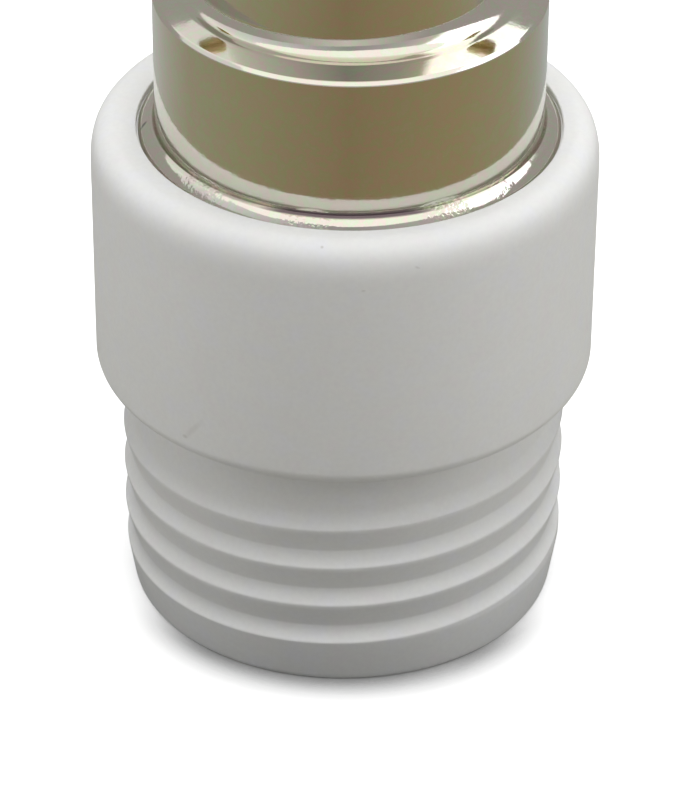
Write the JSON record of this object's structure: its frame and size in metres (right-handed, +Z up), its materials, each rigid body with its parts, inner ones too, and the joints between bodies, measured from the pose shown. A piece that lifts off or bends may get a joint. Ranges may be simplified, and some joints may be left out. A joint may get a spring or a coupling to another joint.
{
  "type": "lamp socket converter",
  "caption": "Round lamp socket converter with a two-pin bayonet cap on top, a white body with an outside shade-ring thread, and a screw socket with a sprung centre contact in its mouth.",
  "frame": {"origin": "middle of the mouth rim's lower face, on the turning axis", "axes": "+Z up along the turning axis towards the bayonet contacts, X along the bayonet pins, -Y to the picture's camera"},
  "size_m": [0.038, 0.038, 0.0678],
  "materials": {
    "white_moulding": "matte moulded",
    "nickel_plate": "bright nickel plate",
    "brass": "turned",
    "black_moulding": "moulded",
    "shell_metal": "rolled sheet",
    "spring_steel": "drawn wire",
    "tinned_wire": "tinned",
    "lead_tubing": "plain tubing"
  },
  "bodies": {
    "converter": {"body": "white_moulding", "cap_shell": "nickel_plate", "bayonet_pin_left": "brass", "bayonet_pin_right": "brass", "cap_insulator": "black_moulding", "contact_stud_line": "brass", "contact_stud_neutral": "brass", "screw_shell": "shell_metal", "shell_rivets": "brass", "neutral_tag": "brass", "contact_barrel": "brass", "contact_spring": "spring_steel", "line_tag": "brass", "barrel_nut": "brass", "line_wire": "tinned_wire", "line_sleeve": "lead_tubing", "neutral_wire": "tinned_wire", "neutral_sleeve": "lead_tubing"},
    "plunger": {"contact_plunger": "brass"}
  },
  "joints": [
    {"name": "contact_press", "type": "slide", "parent": "converter", "child": "plunger", "axis": [0, 0, 1], "range_m": [0, 0.002], "stiffness_N_per_m": 1000, "springref_m": -0.002, "deforming": ["contact_spring"]}
  ]
}
